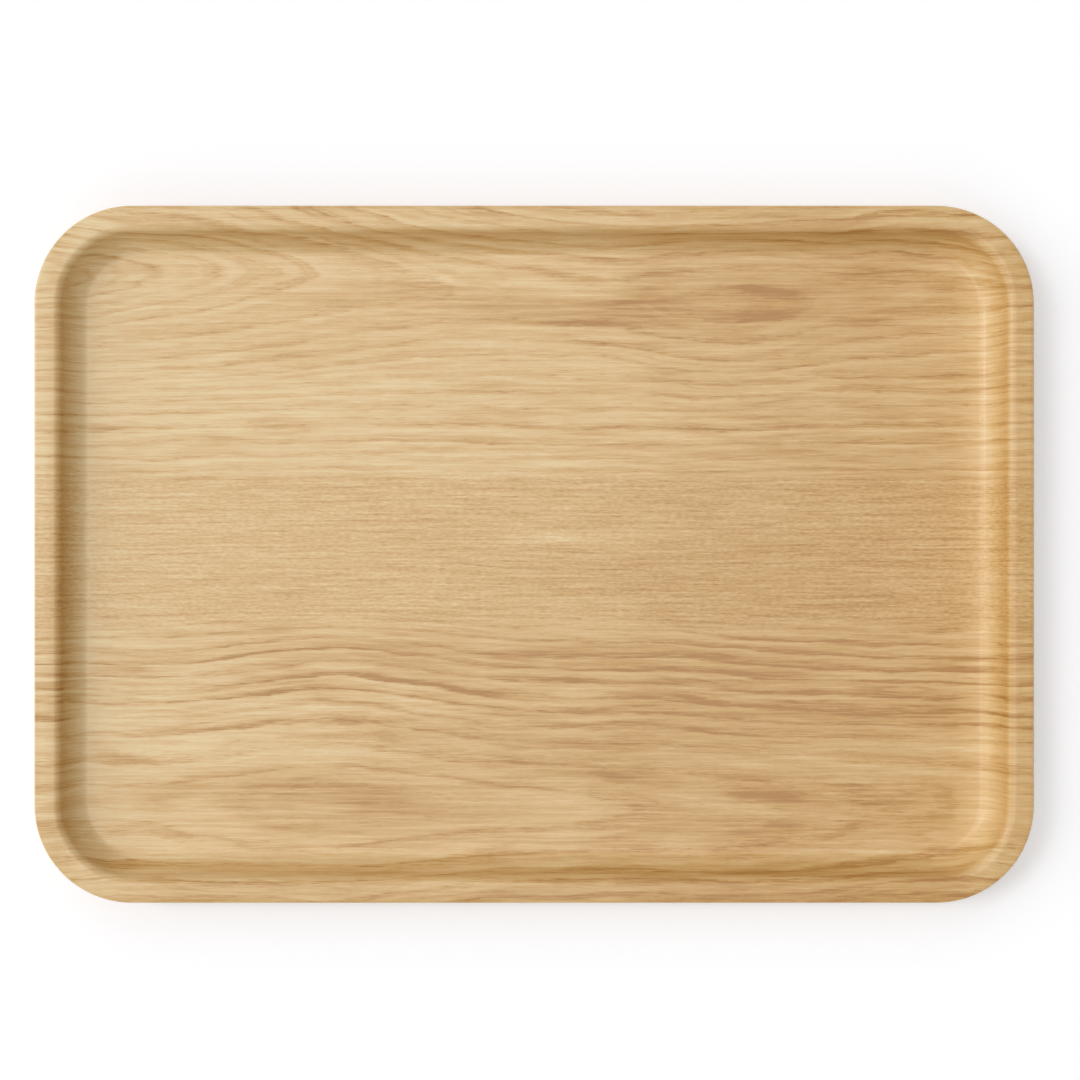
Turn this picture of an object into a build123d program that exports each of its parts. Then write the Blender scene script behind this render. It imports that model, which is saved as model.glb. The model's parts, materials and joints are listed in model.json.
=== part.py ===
"""Moulded plywood serving tray with oak faces.

The tray is a stack of seven veneers, glued and pressed to shape together. Every glue line runs
parallel to the serving face, so one section serves all of them: flat base, foot bend, cove wall,
lip bend and flat lip. The rim's edge is cut square and its two arrises are eased.

Frame: origin at the centre of the underside, +X along the length, +Z up. Sizes are millimetres.
"""

import os
from math import acos, cos, degrees, radians, sin

from build123d import *

# ---- driving dimensions -------------------------------------------------------------------------

tray_length = 430.0  # outline, cut edge to cut edge
tray_width = 300.0
tray_height = 18.0  # underside to the top of the lip
corner_radius = 42.0  # of the outline

lip_flat = 7.8  # flat of the lip, from the cut edge to the lip bend
lip_bend_radius = 3.5  # on the serving face, over the top of the wall
wall_top_angle = 80.0  # slope of the wall where it meets the lip bend, from the horizontal
wall_foot_angle = 45.0  # slope of the wall where it meets the foot bend
foot_bend_radius = 4.5  # on the serving face, between base and wall
tightest_bend = 0.5  # the pressed veneers fill the inside of the lip bend to this radius
edge_easing = 0.8  # radius sanded on both arrises of the cut edge

oak_thickness = 0.5  # sliced oak, for the two faces
birch_thickness = 0.6  # rotary-cut birch, for the five veneers of the core

# Top to bottom. The grain of every second veneer runs across the tray.
lay_up = [
    ("oak_face_veneer", oak_thickness),
    ("upper_crossband", birch_thickness),
    ("upper_core_veneer", birch_thickness),
    ("centre_core_veneer", birch_thickness),
    ("lower_core_veneer", birch_thickness),
    ("lower_crossband", birch_thickness),
    ("oak_back_veneer", oak_thickness),
]

# ---- sizes that follow --------------------------------------------------------------------------

base_thickness = sum(thickness for _, thickness in lay_up)
corner_x = tray_length / 2 - corner_radius
corner_y = tray_width / 2 - corner_radius

# The wall's cove fills the height that the two bends leave.
foot_rise = foot_bend_radius * (1 - cos(radians(wall_foot_angle)))
lip_bend_rise = lip_bend_radius * (1 - cos(radians(wall_top_angle)))
cove_rise = tray_height - base_thickness - foot_rise - lip_bend_rise
cove_radius = cove_rise / (cos(radians(wall_foot_angle)) - cos(radians(wall_top_angle)))

# Section coordinates: x runs outward from the corner's axis, y is height.
foot_run = foot_bend_radius * sin(radians(wall_foot_angle))
cove_run = cove_radius * (sin(radians(wall_top_angle)) - sin(radians(wall_foot_angle)))
lip_bend_run = lip_bend_radius * sin(radians(wall_top_angle))
base_reach = corner_radius - lip_flat - lip_bend_run - cove_run - foot_run
cove_centre_height = base_thickness + foot_rise + cove_radius * cos(radians(wall_foot_angle))

# The edge is trimmed and eased from the middle of the lip outward, clear of the bend's underside.
trim_reach = lip_flat / 2


def pressed_line(depth):
    """The section's line at one depth below the serving face, from the corner's axis to the edge."""
    lip_height = tray_height - depth
    bend_radius = max(lip_bend_radius - depth, tightest_bend)
    drop = cove_centre_height - lip_height + bend_radius
    top_angle = degrees(acos(drop / (cove_radius + depth + bend_radius)))
    base = Line((0, base_thickness - depth), (base_reach, base_thickness - depth))
    foot = JernArc(base @ 1, base % 1, foot_bend_radius + depth, wall_foot_angle)
    cove = JernArc(foot @ 1, foot % 1, cove_radius + depth, top_angle - wall_foot_angle)
    lip_bend = JernArc(cove @ 1, cove % 1, bend_radius, -top_angle)
    lip = Line(lip_bend @ 1, (corner_radius, lip_height))
    return base @ 0, lip @ 1


def rim_section(plane, depth_above, depth_below):
    """A veneer's section between two glue lines, trimmed to the eased edge of the rim."""
    with BuildSketch(plane) as section:
        with BuildLine():
            upper_start, upper_end = pressed_line(depth_above)
            lower_start, lower_end = pressed_line(depth_below)
            Line(upper_start, lower_start)
            Line(upper_end, lower_end)
        make_face()
        with BuildSketch(mode=Mode.INTERSECT):
            with Locations((0, tray_height)):
                lip = Rectangle(corner_radius, base_thickness, align=(Align.MIN, Align.MAX))
            fillet(lip.vertices().group_by(Axis.X)[-1], edge_easing)
            Rectangle(corner_radius - trim_reach, tray_height, align=Align.MIN)
    return section.sketch


def pressed_veneer(name, depth_above, depth_below):
    """One veneer: a quarter of the tray from its rim section and base plate, mirrored twice."""
    end_plane = Plane(origin=(corner_x, corner_y, 0), x_dir=(1, 0, 0), z_dir=(0, -1, 0))
    side_plane = Plane(origin=(corner_x, corner_y, 0), x_dir=(0, 1, 0), z_dir=(1, 0, 0))
    end_section = rim_section(end_plane, depth_above, depth_below)
    side_section = rim_section(side_plane, depth_above, depth_below)
    with BuildPart() as veneer:
        with BuildSketch(Plane.XY.offset(base_thickness - depth_below)):
            Rectangle(corner_x, corner_y, align=Align.MIN)
        extrude(amount=depth_below - depth_above)
        extrude(end_section, amount=corner_y)
        extrude(side_section, amount=-corner_x)
        revolve(end_section, axis=Axis((corner_x, corner_y, 0), (0, 0, 1)), revolution_arc=90)
        mirror(about=Plane.YZ)
        mirror(about=Plane.XZ)
    veneer.part.label = name
    return veneer


os.makedirs("parts", exist_ok=True)
glue_line = 0.0
for veneer_name, veneer_thickness in lay_up:
    veneer = pressed_veneer(veneer_name, glue_line, glue_line + veneer_thickness)
    export_step(veneer.part, f"parts/{veneer_name}.step")
    glue_line += veneer_thickness
print(f"cove radius {cove_radius:.2f}, base reach {base_reach:.2f}, base thickness {base_thickness:.2f}")
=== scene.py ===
"""The looks of a moulded plywood serving tray with oak faces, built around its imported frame.

Every veneer is rebuilt as a fine mesh on the section that the frame has: flat base, foot bend, cove wall,
lip bend and lip. Each vertex also carries the place it had on the flat sheet before pressing, and
the wood's figure is worked out there, so the grain runs over wall and lip without a break.
"""

import json
import math

import bpy
import numpy as np
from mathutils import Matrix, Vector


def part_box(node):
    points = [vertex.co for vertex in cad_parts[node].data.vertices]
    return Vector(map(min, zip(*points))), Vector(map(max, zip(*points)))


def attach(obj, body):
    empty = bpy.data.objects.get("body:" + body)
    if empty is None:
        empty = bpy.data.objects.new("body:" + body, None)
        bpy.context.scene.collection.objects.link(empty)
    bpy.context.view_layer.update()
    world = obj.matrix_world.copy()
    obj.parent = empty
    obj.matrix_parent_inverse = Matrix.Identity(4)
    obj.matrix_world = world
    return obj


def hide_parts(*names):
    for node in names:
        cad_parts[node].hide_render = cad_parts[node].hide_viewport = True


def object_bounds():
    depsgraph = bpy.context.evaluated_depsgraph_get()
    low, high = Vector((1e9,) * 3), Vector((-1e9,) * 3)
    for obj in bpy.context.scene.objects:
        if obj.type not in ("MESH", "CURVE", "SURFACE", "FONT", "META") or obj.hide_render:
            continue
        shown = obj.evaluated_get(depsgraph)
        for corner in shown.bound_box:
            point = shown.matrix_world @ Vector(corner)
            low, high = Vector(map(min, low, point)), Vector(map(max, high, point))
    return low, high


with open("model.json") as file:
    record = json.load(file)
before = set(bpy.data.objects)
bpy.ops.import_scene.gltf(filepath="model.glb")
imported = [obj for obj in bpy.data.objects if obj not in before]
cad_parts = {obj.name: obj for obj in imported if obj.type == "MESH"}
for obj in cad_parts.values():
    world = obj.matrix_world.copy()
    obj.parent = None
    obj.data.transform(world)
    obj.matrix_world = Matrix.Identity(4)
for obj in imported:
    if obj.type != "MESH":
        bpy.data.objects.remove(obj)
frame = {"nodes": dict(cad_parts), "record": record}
cad_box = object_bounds()

MM = 0.001

# ---- the tray's sizes, in millimetres -----------------------------------------------------------

tray_length, tray_width, tray_height = (round(side / MM, 3) for side in cad_box[1] - cad_box[0])
mounts = {mount["name"]: mount for mount in frame["record"]["mounts"]}
base_thickness = round(mounts["serving_face"]["pos_m"][2] / MM, 3)

corner_radius = 42.0
lip_flat = 7.8
lip_bend_radius = 3.5
wall_top_angle = math.radians(80)
wall_foot_angle = math.radians(45)
foot_bend_radius = 4.5
tightest_bend = 0.5
edge_easing = 0.8

corner_x = tray_length / 2 - corner_radius
corner_y = tray_width / 2 - corner_radius
foot_rise = foot_bend_radius * (1 - math.cos(wall_foot_angle))
lip_bend_rise = lip_bend_radius * (1 - math.cos(wall_top_angle))
cove_rise = tray_height - base_thickness - foot_rise - lip_bend_rise
cove_radius = cove_rise / (math.cos(wall_foot_angle) - math.cos(wall_top_angle))
foot_run = foot_bend_radius * math.sin(wall_foot_angle)
cove_run = cove_radius * (math.sin(wall_top_angle) - math.sin(wall_foot_angle))
lip_bend_run = lip_bend_radius * math.sin(wall_top_angle)
base_reach = corner_radius - lip_flat - lip_bend_run - cove_run - foot_run
cove_x = base_reach + foot_run - cove_radius * math.sin(wall_foot_angle)
cove_z = base_thickness + foot_rise + cove_radius * math.cos(wall_foot_angle)

# ---- the section of one veneer ------------------------------------------------------------------

# Steps along each stretch of the section, times the veneer's fineness.
base_steps, foot_steps, wall_steps, lip_bend_steps, lip_steps = 6, 4, 4, 4, 3
edge_steps = 2


def straight(start, end, steps):
    """Evenly spaced points along a straight stretch of the section."""
    return np.linspace(start, end, steps + 1)


def arc(centre, radius, start, end, steps):
    """Points along an arc of the section. An angle of 0 is straight down from the centre."""
    turn = np.linspace(start, end, steps + 1)
    return np.column_stack([centre[0] + radius * np.sin(turn), centre[1] - radius * np.cos(turn)])


def edge_reach(height):
    """How far the cut edge stands out at one height of the lip, with both arrises eased."""
    to_arris = np.minimum(tray_height - height, height - (tray_height - base_thickness))
    eased = np.clip(edge_easing - to_arris, 0, edge_easing)
    return corner_radius - edge_easing + np.sqrt(edge_easing**2 - eased**2)


def pressed_line(depth, fineness):
    """One glue line or face, from the corner's axis to the cut edge, as reach and height."""
    base_height, lip_height = base_thickness - depth, tray_height - depth
    bend_radius = max(lip_bend_radius - depth, tightest_bend)
    to_bend = cove_radius + depth + bend_radius
    top_angle = math.acos((cove_z - lip_height + bend_radius) / to_bend)
    bend_x = cove_x + to_bend * math.sin(top_angle)
    cove_centre = (cove_x, cove_z)
    foot_centre = (base_reach, base_thickness + foot_bend_radius)
    bend_centre = (bend_x, lip_height - bend_radius)
    lip_end = (float(edge_reach(lip_height)), lip_height)
    stretches = [
        straight((0, base_height), (base_reach, base_height), base_steps * fineness),
        arc(foot_centre, foot_bend_radius + depth, 0, wall_foot_angle, foot_steps * fineness),
        arc(cove_centre, cove_radius + depth, wall_foot_angle, top_angle, wall_steps * fineness),
        arc(bend_centre, bend_radius, math.pi + top_angle, math.pi, lip_bend_steps * fineness),
        straight((bend_x, lip_height), lip_end, lip_steps * fineness),
    ]
    return np.vstack([stretch[:-1] for stretch in stretches] + [lip_end])


def run_along(line):
    """Length along a section line, which is how far out each point lay on the flat sheet."""
    return np.concatenate([[0], np.cumsum(np.hypot(*np.diff(line, axis=0).T))])


def veneer_section(depth_above, depth_below, fineness):
    """A veneer's closed section: reach, height and run on the flat sheet, from the face to its back."""
    face, back = pressed_line(depth_above, fineness), pressed_line(depth_below, fineness)
    face_height, back_height = tray_height - depth_above, tray_height - depth_below
    heights = np.linspace(face_height, back_height, edge_steps * fineness + 1)[1:-1]
    edge = np.column_stack([edge_reach(heights), heights])
    face_run, back_run = run_along(face), run_along(back)
    edge_run = face_run[-1] + face[-1, 1] - heights
    points = np.vstack([face, edge, back[::-1]])
    return points, np.concatenate([face_run, edge_run, back_run[::-1]])


# ---- meshes -------------------------------------------------------------------------------------

sharpest_smooth_angle = math.radians(40)


def plan_loop(along_x, along_y, around):
    """The plan's outline as axis points and directions: a point at any reach is axis + reach * direction.

    It runs anticlockwise from the right-hand side's top: a corner, a side, and so on.
    """
    signs = [(1, 1), (-1, 1), (-1, -1), (1, -1)]
    axes, directions = [], []
    for quarter, (sx, sy) in enumerate(signs):
        axis = (sx * corner_x, sy * corner_y)
        turn = np.linspace(0, math.pi / 2, around + 1) + quarter * math.pi / 2
        axes.append(np.tile(axis, (around + 1, 1)))
        directions.append(np.column_stack([np.cos(turn), np.sin(turn)]))
        next_sx, next_sy = signs[(quarter + 1) % 4]
        steps = along_y if sx == next_sx else along_x
        side = np.linspace(axis, (next_sx * corner_x, next_sy * corner_y), steps + 1)
        axes.append(side[1:-1])
        directions.append(np.tile(directions[-1][-1], (steps - 1, 1)))
    return np.vstack(axes), np.vstack(directions)


def grid_rim(along_x, along_y, around):
    """For each point of the plan's outline, the grid vertex that it closes on at reach 0."""
    number = np.arange((along_x + 1) * (along_y + 1)).reshape(along_x + 1, along_y + 1)
    corners = [number[-1, -1], number[0, -1], number[0, 0], number[-1, 0]]
    sides = [number[::-1, -1], number[0, ::-1], number[:, 0], number[-1, :]]
    rim = []
    for corner, side in zip(corners, sides):
        rim += [np.full(around + 1, corner), side[1:-1]]
    return np.concatenate(rim), number


def flat_grid(along_x, along_y):
    """The places of the grid that closes the middle of the tray, between the corners' axes."""
    across_x = np.linspace(-corner_x, corner_x, along_x + 1)
    across_y = np.linspace(-corner_y, corner_y, along_y + 1)
    grid_x, grid_y = np.meshgrid(across_x, across_y, indexing="ij")
    return np.column_stack([grid_x.ravel(), grid_y.ravel()])


def at_height(places, height):
    """Places of the plan, all lifted to one height."""
    return np.column_stack([places, np.full(len(places), height)])


def ring_faces(ids):
    """Faces between neighbouring rings of vertices, with fewer corners where vertices fall together."""
    faces = []
    for inner, outer in zip(ids[:-1], ids[1:]):
        for corners in np.column_stack([inner, outer, np.roll(outer, -1), np.roll(inner, -1)]).tolist():
            face = list(dict.fromkeys(corners))
            if len(face) > 2:
                faces.append(face)
    return faces


def grid_faces(number, back_start):
    """Faces of the flat middle, for the veneer's face and for its back."""
    cells = np.stack([number[:-1, :-1], number[1:, :-1], number[1:, 1:], number[:-1, 1:]], axis=-1)
    cells = cells.reshape(-1, 4)
    return cells.tolist() + (cells[:, ::-1] + back_start).tolist()


def veneer_mesh(name, depth_above, depth_below, along_x, along_y, around, fineness, figure):
    """One pressed veneer as a closed mesh, with its place on the flat sheet and its figure."""
    section, run = veneer_section(depth_above, depth_below, fineness)
    axes, directions = plan_loop(along_x, along_y, around)
    rim, number = grid_rim(along_x, along_y, around)
    grid = flat_grid(along_x, along_y)
    rings = [at_height(axes + reach * directions, height) for reach, height in section[1:-1]]
    flat_rings = [axes + length * directions for length in run[1:-1]]
    places = np.vstack([at_height(grid, section[0, 1]), *rings, at_height(grid, section[-1, 1])])
    flat = np.vstack([grid, *flat_rings, grid])

    first_ring = len(grid)
    back_start = first_ring + len(rings) * len(axes)
    ring_starts = range(first_ring, back_start, len(axes))
    ids = [rim, *(start + np.arange(len(axes)) for start in ring_starts), back_start + rim]

    mesh = bpy.data.meshes.new(name)
    mesh.from_pydata((places * MM).tolist(), [], ring_faces(ids) + grid_faces(number, back_start))
    mesh.shade_smooth()
    mesh.set_sharp_from_angle(angle=sharpest_smooth_angle)
    sheet = mesh.attributes.new("sheet", "FLOAT_VECTOR", "POINT")
    sheet.data.foreach_set("vector", at_height(flat, 0).astype(np.float32).ravel())
    in_middle = np.zeros(len(grid))
    reach = np.concatenate([in_middle, np.repeat(section[1:-1, 0], len(axes)), in_middle])
    for key, values in {"reach": reach, **figure(flat[:, 0], flat[:, 1])}.items():
        mesh.attributes.new(key, "FLOAT", "POINT").data.foreach_set("value", values.astype(np.float32))
    piece = bpy.data.objects.new(name, mesh)
    bpy.context.scene.collection.objects.link(piece)
    return piece


# ---- tools for the wood's figure, on the flat sheet in millimetres --------------------------------

lattice_size = 64  # random values each way behind a drift
lattice_start = (31.7, 17.3)  # where the sheet's middle lies in that lattice


def smoothly(points, at):
    """A smooth curve through a few chosen points."""
    known, values = (np.array(column, float) for column in zip(*points))
    slopes = np.gradient(values, known)
    at = np.clip(at, known[0], known[-1])
    left = np.clip(np.searchsorted(known, at, side="right") - 1, 0, len(known) - 2)
    gap = known[left + 1] - known[left]
    t = (at - known[left]) / gap
    rise = values[left] * (1 + 2 * t) * (1 - t) ** 2 + values[left + 1] * t**2 * (3 - 2 * t)
    return rise + gap * (slopes[left] * t * (1 - t) ** 2 - slopes[left + 1] * t**2 * (1 - t))


def ease(low, high, value):
    """0 below low, 1 above high, and an even turn between."""
    t = np.clip((value - low) / (high - low), 0, 1)
    return t * t * (3 - 2 * t)


def drift(x, y, length, height, seed):
    """Smooth random wander from -1 to 1, in patches of that length and height."""
    lattice = np.random.default_rng(seed).uniform(-1, 1, (lattice_size, lattice_size))
    u, v = x / length + lattice_start[0], y / height + lattice_start[1]
    i, j = np.floor(u).astype(int), np.floor(v).astype(int)
    s, t = ease(0, 1, u - i), ease(0, 1, v - j)
    i, j, next_i, next_j = (number % lattice_size for number in (i, j, i + 1, j + 1))
    low = lattice[i, j] * (1 - s) + lattice[next_i, j] * s
    high = lattice[i, next_j] * (1 - s) + lattice[next_i, next_j] * s
    return low * (1 - t) + high * t


def drifts(x, y, layers):
    """Drifts added up, each amount, length, height and seed."""
    return sum(amount * drift(x, y, length, height, seed) for amount, length, height, seed in layers)


def patches(x, y, spots):
    """Soft oval patches, each x, y, half length, half height, tilt and amount."""
    total = np.zeros_like(x)
    for spot_x, spot_y, half_length, half_height, tilt, amount in spots:
        across = y - spot_y - tilt * (x - spot_x)
        total += amount * np.exp(-(((x - spot_x) / half_length) ** 2) - (across / half_height) ** 2)
    return total


def ring_count(level, edges, calm_spacing):
    """The number of the growth ring at a level, from the levels at which the bolder rings end."""
    upper_edges, lower_edges = edges
    calm_rings = round((upper_edges[-1] - lower_edges[0]) / calm_spacing)
    last_upper = len(upper_edges) - 1
    counts = [*range(last_upper + 1), *(last_upper + calm_rings + step for step in range(len(lower_edges)))]
    return smoothly([(-edge, count) for edge, count in zip(upper_edges + lower_edges, counts)], -level)


# ---- the figure of the face: two crowns of plain-sliced oak, with a quieter band between ------------

# Each crown has a heart line along its middle. Its depth says how far the rings are drawn outward there:
# a dip closes a ring into an eye, and a steady rise leaves a row of nested tongues. The bluntness
# rounds the rings where they cross the heart line, and the breadth is how far the drawing reaches.


def upper_crown(x, y):
    """Levels in the crown along the top: tongues at the left, and a long eye at the right."""
    bluntness, breadth = 8, 40
    heart = smoothly(
        [
            (-225, 123), (-100, 123), (-60, 118.5), (0, 113), (40, 110.5),
            (83, 110), (128, 112), (151, 114), (225, 112),
        ],
        x,
    )
    depth = smoothly(
        [
            (-225, 2), (-197, 5.7), (-170, 10.3), (-149, 13.3), (-122, 18.5),
            (-98, 21), (-40, 22), (0, 19.5), (36, 17), (60, 13.5),
            (83, 12), (110, 14), (128, 18.5), (151, 21.5), (225, 22),
        ],
        x,
    )
    above = y - heart
    return heart - np.hypot(bluntness, above) - depth * np.exp(-((above / breadth) ** 2))


def lower_crown(x, y):
    """Levels in the crown along the bottom, with the long wave of the bold rings over it."""
    bluntness, breadth = 4, 15
    heart = smoothly(
        [
            (-225, -108), (-150, -109), (-96, -108), (-40, -110), (5, -112),
            (50, -112.5), (100, -115), (156, -112), (225, -110),
        ],
        x,
    )
    depth = smoothly(
        [(-225, 0), (5, 0), (50, 6.5), (100, 9.5), (130, 9.5), (156, 10.5), (185, 13), (225, 14)],
        x,
    )
    sway = smoothly(
        [
            (-225, 0), (-150, -1), (-120, 2.5), (-84, 5), (-50, 1), (-20, -3),
            (20, -4.5), (60, -5), (100, -8), (150, -9.5), (225, -9),
        ],
        x,
    )
    sag = smoothly([(-225, -8), (-150, -8), (-60, -4), (-7, 0), (225, 0)], x)
    below = y - heart
    level = heart + np.hypot(bluntness, below) + depth * np.exp(-((below / breadth) ** 2))
    level += sag * (1 - ease(-24, 0, below)) - sway * (1 - ease(-45, -15, y))
    return level


def face_rings(x, y):
    """The growth ring at each place: the crowns' levels, wandering a little, counted off as rings."""
    share = ease(-20, 20, y)
    level = upper_crown(x, y) * share + lower_crown(x, y) * (1 - share)
    level += drifts(x, y, [(1.5, 150, 30, 1), (0.8, 60, 11, 2), (0.3, 24, 5, 3)])
    upper_edges = [116, 112, 108, 104, 100.5, 97, 93.5, 85.5, 80, 76, 72.5, 68, 64, 59, 52.5, 46.5, 40.5, 35]
    lower_edges = [-36, -42, -47, -53, -59.5, -65, -72, -79, -90, -100, -109, -118]
    return ring_count(level, (upper_edges, lower_edges), calm_spacing=2.8)


def face_boldness(x, y):
    """How strongly the ring lines show."""
    bold = smoothly(
        [
            (-165, 0.9), (-138, 0.9), (-122, 0.75), (-96, 0.8), (-70, 1.0), (-40, 0.95), (-30, 0.45),
            (0, 0.28), (28, 0.3), (38, 0.6), (80, 0.65), (112, 0.75), (135, 0.8), (165, 0.9),
        ],
        y,
    )
    upper_spots = [
        (-165, 118, 50, 14, 0, -0.45),
        (90, 112, 50, 9, 0, -0.6),
        (-60, 105, 50, 14, 0, -0.4),
        (160, 108, 40, 12, 0, -0.6),
        (120, 97, 90, 3.5, 0.05, 0.5),
    ]
    lower_spots = [
        (-80, -111, 95, 14, 0, -0.85),
        (90, -114, 60, 12, 0, 0.3),
        (70, -88, 50, 5, 0, -0.2),
        (20, -62, 160, 5, -0.02, 0.25),
        (100, -132, 120, 9, 0.03, 0.45),
        (130, -87, 60, 7, 0, -0.5),
        (105, -114, 40, 4, 0, -0.5),
        (-130, -64, 70, 16, 0, 0.25),
    ]
    return bold * (1 + patches(x, y, upper_spots + lower_spots))


def face_calm(x, y):
    """1 in the quiet band of quartered grain in the middle, 0 in both crowns."""
    lower_border = y + 3 * drift(x, y, 60, 400, 4)
    upper_border = y + 3 * drift(x, y, 70, 400, 5)
    return ease(-36, -24, lower_border) * (1 - ease(30, 37, upper_border))


def face_tone_and_painted_light(x, y, calm):
    """How much darker the wood is than its average over wide areas, with painted light and shade added: a
    painted falloff of light from left to right, and painted light and shade along the rim.
    """
    # Painted falloff of light: darker toward the right and paler at the left end. The darker calm band is the
    # wood's own tone.
    tone = 0.10 * calm + 0.22 * ease(-20, 130, x) - 0.11 * (1 - ease(-215, -110, x))
    tone += drifts(x, y, [(0.05, 170, 24, 6), (0.05, 90, 10, 7)])
    # Painted light and shade along the rim: a painted shade band on the bottom lip, a paler painted sheen on
    # the right wall, painted shade on the left wall's upper part, and paler painted light at the left wall's
    # foot.
    painted_light_and_shade_on_rim = [
        (0, -157, 300, 8, 0, 0.28),
        (198, 0, 9, 400, 0, -0.20),
        (-212, 0, 5, 130, 0, 0.36),
        (-204, 0, 5, 130, 0, 0.05),
        (-198, 0, 4, 130, 0, -0.20),
    ]
    base_spots = [
        (20, -72, 105, 55, 0, 0.18),
        (20, 40, 90, 40, 0, 0.04),
        (0, -50, 250, 14, 0, 0.06),
        (130, 113, 60, 18, 0, 0.06),
    ]
    return tone + patches(x, y, painted_light_and_shade_on_rim + base_spots)


def face_stain(x, y):
    """Brown patches and paler ones, which break up into streaks along the grain."""
    around_the_eye = [
        (58, 109, 52, 10, -0.02, 0.24), (112, 115, 34, 4, -0.06, 0.18), (152, 117, 12, 8, 0, 0.22),
        (150, 104, 34, 4, 0.05, 0.16), (-40, 110, 40, 6, 0.02, 0.14), (15, 103, 50, 7, -0.08, 0.20),
        (44, 113, 14, 5, 0.5, 0.20),
    ]
    upper_left = [(-150, 122, 30, 8, 0, 0.06), (-90, 117, 25, 6, 0, 0.08)]
    lower_left = [
        (-90, -109, 42, 8, -0.05, 0.30), (-70, -107, 20, 6, 0.12, 0.30), (-112, -102, 22, 2.5, -0.06, 0.14),
        (-56, -113, 22, 3, -0.05, 0.16), (-100, -118, 34, 3, 0, 0.12), (-150, -103, 45, 5, 0.02, 0.16),
        (-110, -122, 30, 3, 0, 0.14),
    ]
    lower_right = [
        (36, -97, 34, 3, -0.07, 0.22), (104, -106, 30, 2.6, -0.08, 0.26), (150, -111, 18, 2.8, 0.1, 0.24),
        (70, -121, 50, 3.5, 0.06, 0.22),
    ]
    middle = [
        (-174, -51, 5, 1.1, 0, 0.40), (60, -48, 90, 6, -0.03, 0.14), (130, -68, 60, 6, -0.02, 0.14),
        (-60, -42, 60, 5, 0.02, 0.10),
    ]
    pale = [
        (18, 7.6, 34, 2.2, 0.02, -0.30), (-150, 95, 40, 8, 0.1, -0.08), (-110, 60, 90, 20, 0.03, -0.12),
        (-90, 40, 90, 5, 0, -0.14), (60, 60, 90, 14, 0.02, -0.06), (-100, -70, 80, 4, 0.04, -0.10),
        (-110, -88, 70, 5, 0.02, -0.12), (-40, 122, 60, 4, -0.06, -0.12), (10, 118, 60, 2, -0.05, -0.12),
        (40, -108, 70, 4, 0, -0.10), (-160, -127, 25, 4, 0, -0.16), (130, -88, 60, 6, 0, -0.08),
        (100, -114, 40, 4, 0, -0.12),
    ]
    return patches(x, y, around_the_eye + upper_left + lower_left + lower_right + middle + pale)


def face_figure(x, y):
    """The oak face veneer's figure, with its painted light and shade, as the values that its material reads
    at each vertex.
    """
    calm = face_calm(x, y)
    return {
        "ring": face_rings(x, y),
        "bold": face_boldness(x, y),
        "calm": calm,
        "tone": face_tone_and_painted_light(x, y, calm),
        "stain": face_stain(x, y),
    }


# ---- the figure of the other veneers --------------------------------------------------------------


def back_figure(x, y):
    """Straight-grained oak, one slow wave along its length."""
    ring_width, wave_height, wave_length = 4.2, 5, 70
    ring = (y + wave_height * np.sin(x / wave_length + 0.6) + 300) / ring_width
    ring += drifts(x, y, [(0.6, 160, 26, 21), (0.2, 50, 8, 22)])
    ring += 0.30 * np.sin(1.7 * ring)
    return {
        "ring": ring,
        "bold": 0.6 + 0.25 * drift(x, y, 300, 30, 26),
        "calm": 0.35 + 0.3 * drift(x, y, 400, 40, 23),
        "tone": 0.06 + drifts(x, y, [(0.06, 180, 22, 24), (0.04, 80, 8, 25)]),
        "stain": np.zeros_like(x),
    }


def no_figure(x, y):
    """The birch veneers show only at the cut edge, where their fibres alone are seen."""
    return {}


# ---- materials ----------------------------------------------------------------------------------


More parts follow.
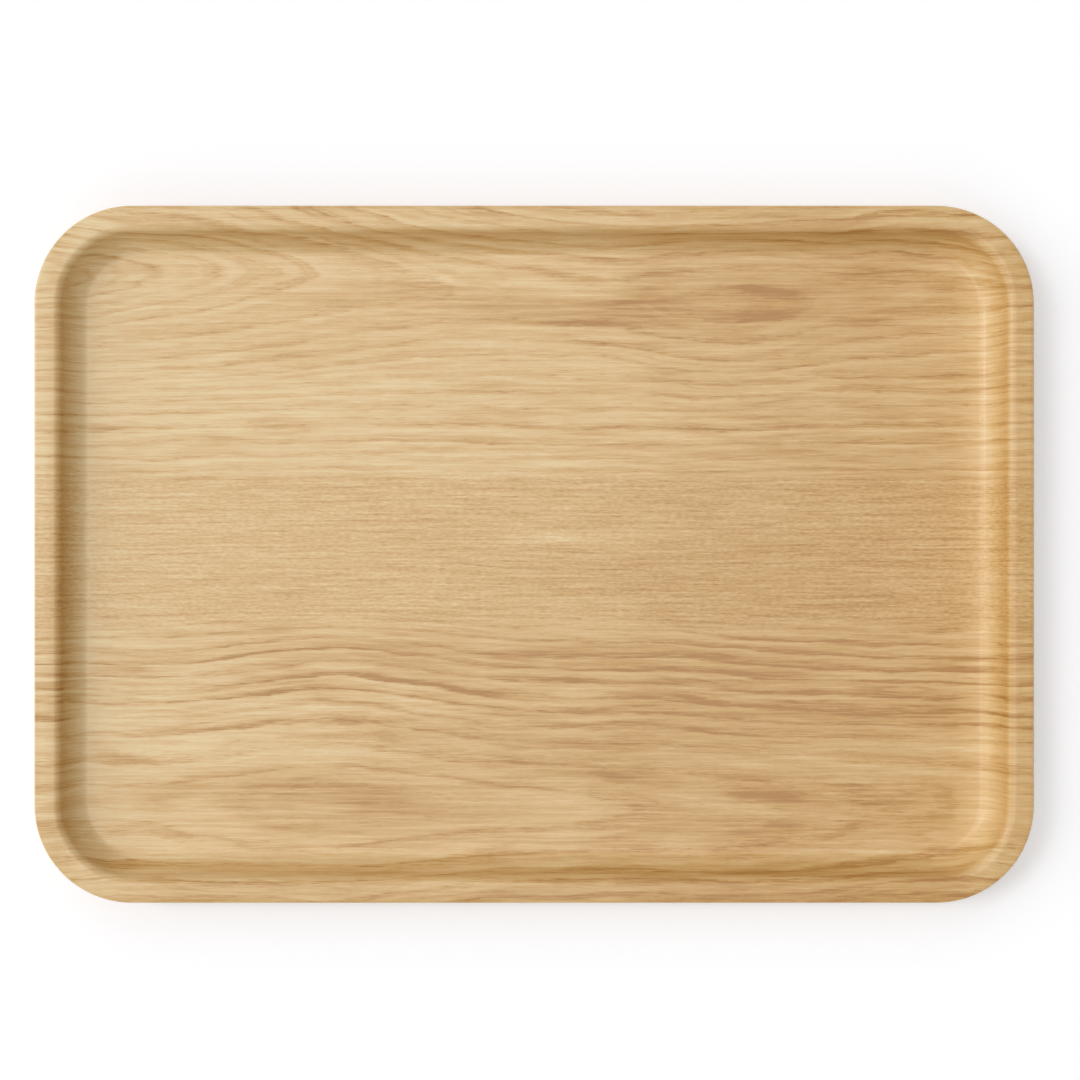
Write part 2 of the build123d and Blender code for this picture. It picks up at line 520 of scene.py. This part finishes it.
class Graph:
    """A material's nodes, wired by calls that read like formulas."""

    def __init__(self, name):
        self.material = bpy.data.materials.new(name)
        self.material.use_nodes = True
        self.tree = self.material.node_tree
        self.shader = self.tree.nodes["Principled BSDF"]

    def node(self, kind, inputs, **settings):
        made = self.tree.nodes.new(kind)
        for key, value in settings.items():
            setattr(made, key, value)
        for key, value in inputs.items():
            self.feed(made.inputs[key], value)
        return made

    def feed(self, socket, value):
        if isinstance(value, bpy.types.NodeSocket):
            self.tree.links.new(value, socket)
        else:
            socket.default_value = value

    def math(self, operation, a, b=0.0):
        return self.node("ShaderNodeMath", {0: a, 1: b}, operation=operation).outputs[0]

    def add(self, first, *others):
        for other in others:
            first = self.math("ADD", first, other)
        return first

    def times(self, first, *others):
        for other in others:
            first = self.math("MULTIPLY", first, other)
        return first

    def about_zero(self, noise):
        """Noise from 0 to 1, shifted so that it adds as much as it takes away."""
        return self.math("SUBTRACT", noise, 0.5)

    def between(self, value, low, high, out_low=0.0, out_high=1.0):
        """An even turn from out_low to out_high as the value goes from low to high."""
        inputs = {"Value": value, 1: low, 2: high, 3: out_low, 4: out_high}
        return self.node("ShaderNodeMapRange", inputs, interpolation_type="SMOOTHSTEP").outputs[0]

    def attribute(self, name, output="Fac"):
        return self.node("ShaderNodeAttribute", {}, attribute_name=name).outputs[output]

    def combine(self, x, y, z):
        return self.node("ShaderNodeCombineXYZ", {0: x, 1: y, 2: z}).outputs[0]

    def noise(self, place, detail, roughness=0.5):
        inputs = {"Vector": place, "Scale": 1.0, "Detail": detail, "Roughness": roughness}
        return self.node("ShaderNodeTexNoise", inputs).outputs["Fac"]

    def fibres(self, place, length, width, seed, detail=2.0, roughness=0.5):
        """Noise drawn out along the grain, about 0 to 1, with streaks of that size in millimetres."""
        inputs = {0: place, 1: (1 / length, 1 / width, 1), 2: (0, 0, seed)}
        scaled = self.node("ShaderNodeVectorMath", inputs, operation="MULTIPLY_ADD").outputs[0]
        return self.noise(scaled, detail, roughness)

    def ramp(self, value, stops, interpolation="LINEAR"):
        made = self.node("ShaderNodeValToRGB", {"Fac": value})
        made.color_ramp.interpolation = interpolation
        elements = made.color_ramp.elements
        while len(elements) < len(stops):
            elements.new(0.5)
        for element, (position, colour) in zip(elements, stops):
            element.position = position
            element.color = colour
        return made.outputs["Color"]

    def mix(self, share, a, b):
        return self.node("ShaderNodeMix", {0: share, 6: a, 7: b}, data_type="RGBA").outputs[2]

    def bump(self, height, strength, distance):
        """Relief of that height, at that distance in millimetres, on the shader's normal."""
        inputs = {"Strength": strength, "Distance": distance * MM, "Height": height}
        self.feed(self.shader.inputs["Normal"], self.node("ShaderNodeBump", inputs).outputs[0])


def linear(red, green, blue):
    """A colour for a node's socket, from linear parts of 0 to 1."""
    return (red, green, blue, 1.0)


def srgb(red, green, blue):
    """A display colour, 0 to 255, as the linear colour that nodes take."""
    parts = [part / 255 for part in (red, green, blue)]
    return linear(*(part / 12.92 if part <= 0.04045 else ((part + 0.055) / 1.055) ** 2.4 for part in parts))


oak_tones = [  # against the wood's darkness
    (0.0, srgb(234, 209, 158)),
    (0.35, srgb(218, 182, 123)),
    (0.65, srgb(200, 157, 89)),
    (1.0, srgb(172, 122, 52)),
]
redder_oak_tones = [(0.0, srgb(236, 202, 148)), (1.0, srgb(178, 118, 50))]
most_redness = 0.13
worn_oak = srgb(232, 204, 156)
average_darkness = 0.24
ring_profile = [  # how dark a growth ring is, from its start to its end
    (0.0, 0.10),
    (0.10, 0.0),
    (0.40, 0.14),
    (0.68, 0.50),
    (0.86, 1.0),
    (1.0, 0.10),
]

oak_roughness = 0.57  # before pores, fibres, handling and wear
oak_specular_level = 0.55
oak_specular_tint = linear(1.0, 0.99, 0.95)
lacquer_weight = 0.55
lacquer_roughness = 0.22
birch_roughness = 0.55


def oak_rings(g, place, bold):
    """The dark of the growth rings, their lines where they show, and the uneven wood inside a ring."""
    line_change, wood_change = 80, 42  # millimetres along the grain over which a line and the wood change
    along = g.node("ShaderNodeSeparateXYZ", {0: place}).outputs["X"]
    # The ring line wavers a little from fibre to fibre.
    waver = g.about_zero(g.fibres(place, 26, 3.2, 3.1, detail=3))
    jitter = g.about_zero(g.fibres(place, 7, 0.7, 8.4))
    ring = g.add(g.attribute("ring"), g.times(waver, 0.55), g.times(jitter, 0.22))
    year = g.math("FLOOR", ring)
    season = g.math("FRACT", ring)
    early = g.ramp(season, [(end, linear(dark, dark, dark)) for end, dark in ring_profile], "EASE")

    year_place = g.combine(g.times(along, 1 / line_change), g.times(year, 1.37), 4.0)
    year_noise = g.noise(year_place, detail=1.0)
    year_strength = g.between(year_noise, 0.30, 0.60, 0.35, 1.0)
    dashes = g.between(g.fibres(place, 12, 0.5, 5.5), 0.38, 0.62, 0.45, 1.3)
    line = g.times(early, year_strength, bold, dashes)

    within_place = g.combine(g.times(along, 1 / wood_change), g.times(ring, 2.7), 9.0)
    within = g.noise(within_place, detail=3.0)
    within = g.add(g.about_zero(within), g.between(within, 0.56, 0.66, 0.0, 0.14))
    within = g.times(within, g.add(g.times(bold, 0.9), 0.3))
    return early, line, within


def oak_fibres(g, place, early):
    """Fibres everywhere, and pores mostly in the dark part of each ring."""
    fibre = g.about_zero(g.fibres(place, 30, 0.9, 1.7, detail=4, roughness=0.6))
    thread = g.about_zero(g.fibres(place, 9, 0.32, 6.2, detail=2))
    pores = g.between(g.fibres(place, 5.5, 0.30, 12.9, detail=1), 0.60, 0.72)
    pores = g.times(pores, g.add(g.times(early, 0.8), 0.25))
    return fibre, thread, pores


def oak_streaks(g, place, calm):
    """Long streaks, with the fine flecked texture of quartered wood in the calm band."""
    streak = g.about_zero(g.fibres(place, 70, 2.4, 31.0, detail=3, roughness=0.6))
    rift = g.about_zero(g.fibres(place, 16, 1.5, 15.0, detail=3, roughness=0.65))
    grit = g.about_zero(g.fibres(place, 2.6, 0.8, 18.0, detail=2))
    fleck = g.between(g.fibres(place, 4.5, 0.9, 21.0, detail=1), 0.60, 0.75)
    texture = g.add(
        g.times(streak, g.add(0.62, g.times(calm, -0.30))),
        g.times(rift, calm, 0.55),
        g.times(grit, g.add(g.times(calm, 0.62), 0.12)),
        g.times(fleck, -0.06),
    )
    return streak, texture


def wear_at_edge(g, place):
    """How worn the wood is: only next to the cut edge, and unevenly along it."""
    starts, full, most = 41.6, 42.6, 0.4  # reach from the corner's axis, in millimetres, and share
    uneven = g.times(g.fibres(place, 6, 3, 40.0), 1.4)
    return g.between(g.add(g.attribute("reach"), uneven), starts, full, 0.0, most)


def oak_material(name):
    """Sliced oak under satin lacquer: growth rings with a sharp lower edge, pores, rays and fibres."""
    g = Graph(name)
    place = g.attribute("sheet", "Vector")
    bold, calm, tone, stain = (g.attribute(key) for key in ("bold", "calm", "tone", "stain"))
    early, line, within = oak_rings(g, place, bold)
    fibre, thread, pores = oak_fibres(g, place, early)
    streak, texture = oak_streaks(g, place, calm)
    worn = wear_at_edge(g, place)

    # On the face, the tone carries painted light and shade as well as the wood's own tone.
    darkness = g.add(
        average_darkness,
        tone,
        g.times(stain, g.add(1.0, g.times(streak, 3.2))),
        g.times(line, 0.50),
        g.times(within, 0.68),
        g.times(fibre, 0.62),
        g.times(thread, 0.40),
        g.times(pores, 0.34),
        texture,
    )
    redness = g.between(g.fibres(place, 60, 8, 25.0), 0.35, 0.65, 0.0, most_redness)
    colour = g.mix(redness, g.ramp(darkness, oak_tones), g.ramp(darkness, redder_oak_tones))
    g.feed(g.shader.inputs["Base Color"], g.mix(worn, colour, worn_oak))

    handled = g.about_zero(g.fibres(place, 55, 40, 44.0))
    roughness = g.add(
        oak_roughness,
        g.times(pores, 0.18),
        g.times(fibre, 0.12),
        g.times(handled, 0.14),
        g.times(worn, 0.4),
    )
    g.feed(g.shader.inputs["Roughness"], roughness)
    g.shader.inputs["Specular IOR Level"].default_value = oak_specular_level
    g.shader.inputs["Specular Tint"].default_value = oak_specular_tint
    g.shader.inputs["Coat Weight"].default_value = lacquer_weight
    g.shader.inputs["Coat Roughness"].default_value = lacquer_roughness
    relief = g.add(g.times(fibre, 0.5), g.times(thread, 0.35), g.times(pores, -0.8), g.times(line, -0.25))
    g.bump(relief, strength=0.22, distance=0.2)
    return g.material


def birch_material(name, grain_axis):
    """Rotary-cut birch: pale where its fibres run along the cut edge, brown where they end in it."""
    g = Graph(name)
    g.shader.inputs["Roughness"].default_value = birch_roughness
    inputs = {0: g.node("ShaderNodeNewGeometry", {}).outputs["Normal"], 1: grain_axis}
    outward = g.node("ShaderNodeVectorMath", inputs, operation="DOT_PRODUCT").outputs["Value"]
    facing = g.math("ABSOLUTE", outward)
    inputs = {0: g.node("ShaderNodeTexCoord", {}).outputs["Object"], "Scale": 1 / MM}
    place = g.node("ShaderNodeVectorMath", inputs, operation="SCALE").outputs[0]
    streak = g.fibres(place, 5, 5, 2.0, detail=5, roughness=0.7)
    pith = g.between(g.fibres(place, 0.35, 0.35, 7.0, detail=1), 0.5, 0.7)
    long_grain = g.ramp(streak, [(0.3, srgb(226, 200, 158)), (0.7, srgb(205, 172, 124))])
    open_ends = g.add(streak, g.times(pith, 0.25))
    end_grain = g.ramp(open_ends, [(0.3, srgb(182, 142, 96)), (0.9, srgb(140, 100, 60))])
    g.feed(g.shader.inputs["Base Color"], g.mix(g.between(facing, 0.25, 0.85), long_grain, end_grain))
    g.bump(g.add(streak, pith), strength=0.3, distance=0.1)
    return g.material


# ---- the pieces ---------------------------------------------------------------------------------

nodes_down = sorted(frame["nodes"], key=lambda node: -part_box(node)[1].z)
glue_lines = [round(tray_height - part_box(node)[1].z / MM, 3) for node in nodes_down] + [base_thickness]
slots = {row["node"]: row["material_slot"] for row in frame["record"]["subparts"]}
materials = {
    "oak_face": oak_material("oak_face"),
    "oak_back": oak_material("oak_back"),
    "birch_long_grain": birch_material("birch_long_grain", (1, 0, 0)),
    "birch_cross_grain": birch_material("birch_cross_grain", (0, 1, 0)),
}
fine = {"along_x": 104, "along_y": 120, "around": 24, "fineness": 2}
plain = {"along_x": 8, "along_y": 6, "around": 24, "fineness": 1}
oak_figures = {0: face_figure, len(nodes_down) - 1: back_figure}  # the top and bottom veneers
for place_down, node in enumerate(nodes_down):
    is_oak = place_down in oak_figures
    name = node.replace("_veneer", "") if is_oak else f"birch_ply_{place_down}"
    resolution = fine if is_oak else plain
    figure = oak_figures.get(place_down, no_figure)
    piece = veneer_mesh(name, glue_lines[place_down], glue_lines[place_down + 1], **resolution, figure=figure)
    piece.data.materials.append(materials[slots[node]])
    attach(piece, "root")
    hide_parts(node)

# ---- the floor ----------------------------------------------------------------------------------

floor_size = 6  # metres
floor_drop = 0.00005  # metres under the tray, so that the two faces don't share a plane
floor_for_light = linear(0.74, 0.74, 0.74)
floor_for_camera = linear(1.185, 1.21, 1.235)  # reads as white at the level of the lamps


def floor_material():
    """Plain paper, white to camera and glossy rays, that keeps the tray's shadow."""
    g = Graph("floor")
    g.tree.nodes.remove(g.shader)
    path = g.node("ShaderNodeLightPath", {}).outputs
    is_seen = g.math("MAXIMUM", path["Is Camera Ray"], path["Is Glossy Ray"])
    colour = g.mix(is_seen, floor_for_light, floor_for_camera)
    paper = g.node("ShaderNodeBsdfDiffuse", {"Color": colour}).outputs[0]
    g.feed(g.tree.nodes["Material Output"].inputs["Surface"], paper)
    return g.material


bpy.ops.mesh.primitive_plane_add(size=floor_size, location=(0, 0, -floor_drop))
floor = bpy.context.object
floor.name = "floor"
floor.data.materials.append(floor_material())

# ---- light --------------------------------------------------------------------------------------

sun_white = (0.98, 1.0, 1.06)


def far_softbox(name, azimuth, elevation, spread, strength):
    """A large soft light far off, all angles in degrees: spread is how wide it looks from the tray."""
    light = bpy.data.lights.new(name, "SUN")
    light.angle = math.radians(spread)
    light.energy = strength
    light.color = sun_white
    lamp = bpy.data.objects.new(name, light)
    lamp.rotation_euler = (0, math.radians(elevation - 90), math.radians(azimuth - 180))
    bpy.context.scene.collection.objects.link(lamp)


far_softbox("overhead", azimuth=168, elevation=86, spread=40, strength=0.76)
far_softbox("side", azimuth=164, elevation=48, spread=20, strength=0.52)
far_softbox("low", azimuth=174, elevation=26, spread=40, strength=0.44)
far_softbox("back", azimuth=100, elevation=38, spread=40, strength=0.22)
far_softbox("front", azimuth=262, elevation=38, spread=40, strength=0.18)


def studio_world(fill, falls_off):
    """Fill light that falls off from left to right, and plain white to camera and glossy rays."""
    world = bpy.data.worlds.new("studio")
    world.use_nodes = True
    nodes, links = world.node_tree.nodes, world.node_tree.links
    direction = nodes.new("ShaderNodeTexCoord").outputs["Generated"]
    to_right = nodes.new("ShaderNodeSeparateXYZ")
    links.new(direction, to_right.inputs[0])
    level = nodes.new("ShaderNodeMapRange")
    for key, value in {1: -1, 2: 1, 3: 1 + falls_off, 4: 1 - falls_off}.items():
        level.inputs[key].default_value = value
    links.new(to_right.outputs["X"], level.inputs["Value"])
    light = nodes.new("ShaderNodeVectorMath")
    light.operation = "SCALE"
    light.inputs[0].default_value = fill
    links.new(level.outputs[0], light.inputs["Scale"])
    path = nodes.new("ShaderNodeLightPath")
    is_seen = nodes.new("ShaderNodeMath")
    is_seen.operation = "MAXIMUM"
    links.new(path.outputs["Is Camera Ray"], is_seen.inputs[0])
    links.new(path.outputs["Is Glossy Ray"], is_seen.inputs[1])
    seen = nodes.new("ShaderNodeMix")
    seen.data_type = "RGBA"
    seen.inputs[7].default_value = linear(1, 1, 1)
    links.new(is_seen.outputs[0], seen.inputs[0])
    links.new(light.outputs[0], seen.inputs[6])
    links.new(seen.outputs[2], nodes["Background"].inputs["Color"])
    return world


bpy.context.scene.world = studio_world(fill=(0.362, 0.332, 0.292), falls_off=0.6)

# ---- the camera, straight above the tray ----------------------------------------------------------

camera_over_lip = 620  # millimetres
seen_width = 464.2  # width of the view at the height of the lip, in millimetres
right_of_middle, below_middle = -0.0054, 0.0132  # where the tray lies in the view, as shares of its width
camera_data = bpy.data.cameras.new("camera")
camera_data.sensor_width = 36
camera_data.lens = camera_data.sensor_width * camera_over_lip / seen_width
camera_data.shift_x = -right_of_middle
camera_data.shift_y = below_middle
camera = bpy.data.objects.new("camera", camera_data)
camera.location = (0, 0, (camera_over_lip + tray_height) * MM)
bpy.context.scene.collection.objects.link(camera)
bpy.context.scene.camera = camera
bpy.context.scene.view_settings.view_transform = "Standard"
